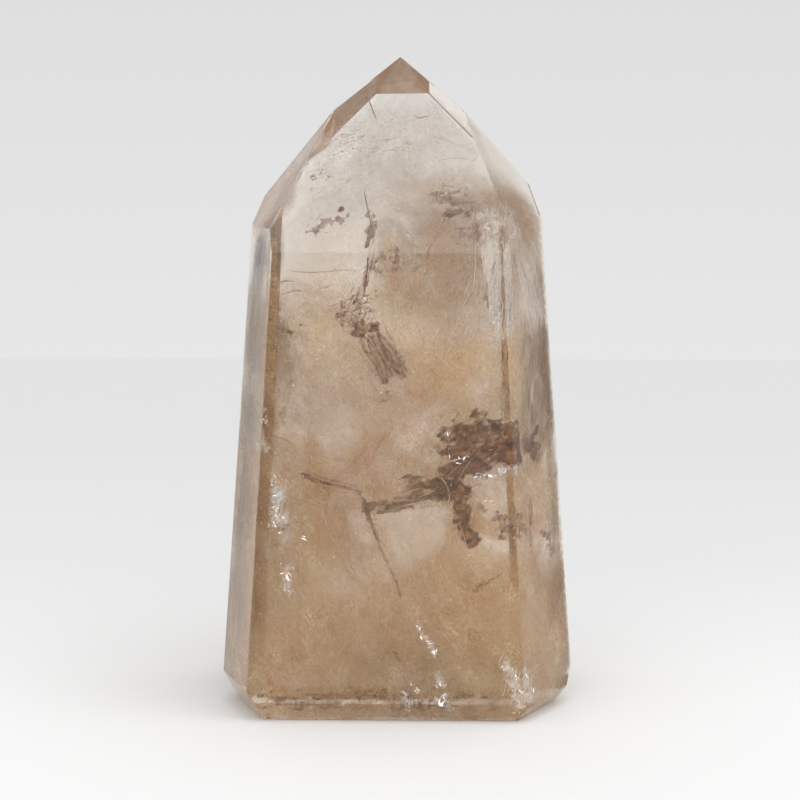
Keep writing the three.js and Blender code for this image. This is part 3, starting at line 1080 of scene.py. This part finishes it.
def flecks(centres, sizes, stretch, seed, towards=(0, 0, 0)):
    """Small scales, each a fan of six triangles round a slightly raised middle. The rim is
    a circle with uneven radii, drawn out along one direction by the stretch. They face
    any way, or mostly one way if it is given."""
    draw = np.random.default_rng(seed)
    inside = depth_in_stone(centres) > FLECK_SKIN
    centres, sizes = centres[inside], sizes[inside]
    count = len(centres)
    facing = unit(draw.normal(size=(count, 3)) * (0.6, 1, 0.6) + np.array(towards) * 2)
    across = unit(np.cross(facing, draw.normal(size=(count, 3)) + (0, 0, 0.01)))
    along = np.cross(facing, across)
    angle = np.linspace(0, 2 * math.pi, FLECK_SIDES, endpoint=False)
    radii = draw.uniform(*FLECK_RANGE, (count, FLECK_SIDES)) * sizes[:, None]
    rim = (
        (radii * np.cos(angle))[..., None] * across[:, None]
        + (radii * np.sin(angle) * stretch)[..., None] * along[:, None]
        + centres[:, None]
    )
    middle = (centres + facing * sizes[:, None] * 0.2)[:, None]
    points = np.concatenate([rim, middle], 1).reshape(-1, 3)
    k = np.arange(FLECK_SIDES)
    fan = np.stack([k, (k + 1) % FLECK_SIDES, np.full(FLECK_SIDES, FLECK_SIDES)], -1)
    first = np.arange(count)[:, None, None] * (FLECK_SIDES + 1)
    return points, (fan + first).reshape(-1, 3), np.ones(len(points))


def clustered(rows, seed):
    """Fleck middles and sizes from rows of x, y, z, spread along x and z, count and size in
    mm: each row is a normal cloud round its point."""
    draw = np.random.default_rng(seed)
    spots = [
        np.array(row[:3]) + draw.normal(size=(row[5], 3)) * (row[3], FLECK_DEPTH, row[4])
        for row in rows
    ]
    sizes = [draw.uniform(*FLECK_RANGE, row[5]) * row[6] for row in rows]
    return np.concatenate(spots), np.concatenate(sizes)


def scattered(count, low, high, smallest, largest, seed):
    """Fleck middles anywhere in the stone between two heights, and their sizes in mm."""
    draw = np.random.default_rng(seed)
    box_low = np.array([cad_box[0][0], cad_box[0][1], low * MM]) / MM
    box_high = np.array([cad_box[1][0], cad_box[1][1], high * MM]) / MM
    return draw.uniform(box_low, box_high, (count, 3)), draw.uniform(smallest, largest, count)


GLINT = (0.15, -0.93, 0.33)  # halfway between the window and the front, inside the stone
white_glint = grained_material("open_cavity_wall", "#f6f2ee", "#ffffff", 0.5, 0.2, 0.9)
bright = [
    (-30.3, -22, 61, 0.35, 1.4, 12, 0.22),
    (-29.6, -22, 55.5, 0.8, 2.2, 44, 0.2),
    (-29.2, -22, 50.5, 1.2, 1.6, 20, 0.16),
    (-33.8, -20, 70, 0.35, 1.3, 10, 0.22),
    (-22.6, -22, 47.2, 0.3, 0.8, 6, 0.24),
    (-26.5, -22, 38.4, 1, 0.8, 10, 0.16),
    (-26.9, -22, 36, 0.6, 0.7, 10, 0.22),
    (-27, -22, 33.6, 1.2, 0.9, 8, 0.14),
    (6, -22, 24.2, 0.4, 1.2, 6, 0.14),
    (6.6, -22, 22.8, 0.3, 1, 9, 0.26),
    (8.4, -22, 20.6, 0.5, 0.5, 8, 0.28),
    (9.2, -22, 18.6, 0.6, 0.8, 10, 0.24),
    (10, -22, 17, 0.3, 0.6, 6, 0.28),
    (11.2, -22, 9.4, 0.4, 0.8, 9, 0.24),
    (12.6, -23, 5.8, 1, 0.7, 20, 0.26),
    (5.6, -22, 7.4, 0.7, 0.7, 10, 0.16),
    (2.8, -23, 5, 0.5, 1.2, 14, 0.2),
    (29.2, -20, 12.1, 1.2, 1.4, 24, 0.2),
    (31.5, -18, 6.4, 1.2, 2, 32, 0.22),
    (9, -2, 152.8, 1.2, 0.5, 16, 0.2),
    (24, -8, 122.4, 1.8, 1.2, 20, 0.18),
    (25.2, -16, 103.4, 0.4, 1.4, 10, 0.24),
    (17, -22, 67.4, 1, 0.5, 12, 0.2),
    (22, -22, 62.8, 1.2, 0.3, 16, 0.22),
    (27, -22, 64.4, 0.9, 0.4, 10, 0.2),
    (13.6, -22, 71.4, 0.25, 1.8, 12, 0.16),
    (33.4, -10, 65.2, 0.2, 1.3, 10, 0.24),
    (39.6, -10, 59.2, 0.7, 0.8, 10, 0.22),
    (23.8, -11, 54.5, 0.5, 0.5, 5, 0.22),
    (-8.4, -17, 109.5, 0.4, 1.2, 6, 0.2),
    (-3.4, -18, 95, 1.2, 1.6, 12, 0.15),
    (-10.4, -18, 103.8, 1, 1.6, 10, 0.15),
]
spread = [
    flecks(*clustered(bright, 101), 3.2, 102, GLINT),
    flecks(*scattered(900, 0, 95, 0.05, 0.14, 103), 1.8, 104, GLINT),
]
glint_piece = add_mesh("white_glints", join_parts(spread), white_glint)
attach(glint_piece, "root")

# Fibres and scales: pale cream where they are thin, golden where thicker, and painted glints.
fibre_and_glint_paint = grained_material("pale_golden_fibre_and_painted_glint", "#d8b98c", "#fff0d2", 0.8, 0.5)
# Painted glints: the clusters under the left face and near the foot are pale gold flecks set where
# golden glints catch the light.
golden = [
    (-36, -8.6, 88.2, 0.25, 0.9, 14, 0.24),
    (-35.3, -11.2, 85.5, 0.25, 0.9, 16, 0.26),
    (-34.9, -12.7, 83.2, 0.25, 0.9, 16, 0.26),
    (-33.9, -16.2, 80.8, 0.3, 0.8, 18, 0.26),
    (-33.3, -18.6, 78.6, 0.3, 0.8, 16, 0.24),
    (-32.4, -21.4, 76.7, 0.4, 0.5, 12, 0.24),
    (-37.8, -7.7, 66.3, 0.2, 0.7, 8, 0.2),
    (-20.9, -23, 4.4, 0.5, 0.3, 16, 0.26),
    (-21.3, -23, 5.4, 0.3, 0.3, 6, 0.2),
    (-20.6, -23, 2, 0.4, 0.25, 12, 0.22),
    (-34.8, -12, 84, 0.3, 1.4, 12, 0.3),
    (-29, -12, 76, 0.3, 0.6, 10, 0.3),
    (-29, -15, 96, 2, 4, 50, 0.14),
    (36.5, -8, 120, 0.5, 0.4, 10, 0.25),
    (-13, -20, 19, 2.5, 4, 60, 0.08),
]
spread = [
    flecks(*clustered(golden, 111), 2.2, 112),
    flecks(*scattered(1600, 0, 75, 0.03, 0.07, 113), 12, 114),
    flecks(*scattered(500, 60, 130, 0.03, 0.06, 115), 12, 116),
]
fibre_piece = add_mesh("pale_fibres_and_painted_glints", join_parts(spread), fibre_and_glint_paint)
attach(fibre_piece, "root")

dull_speck = grained_material("dull_mineral_speck", "#5a4432", "#957a60", 0.6, 0.8)
dull = [
    (-12, 2, 143, 7, 5, 300, 0.12),
    (-16, -4, 128, 9, 6, 200, 0.1),
    (6, 2, 140, 8, 8, 200, 0.1),
    (-6, 1, 150, 6, 3, 80, 0.1),
    (-28.6, -22, 53, 0.7, 1.8, 16, 0.2),
    (25.4, -15, 104, 0.4, 1.2, 14, 0.22),
    (-27.6, -22, 49.6, 0.8, 0.5, 14, 0.26),
]
spread = [
    flecks(*clustered(dull, 121), 1.5, 122),
    flecks(*scattered(2200, 0, 150, 0.05, 0.12, 123), 2, 124),
]
speck_piece = add_mesh("dull_specks", join_parts(spread), dull_speck)
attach(speck_piece, "root")
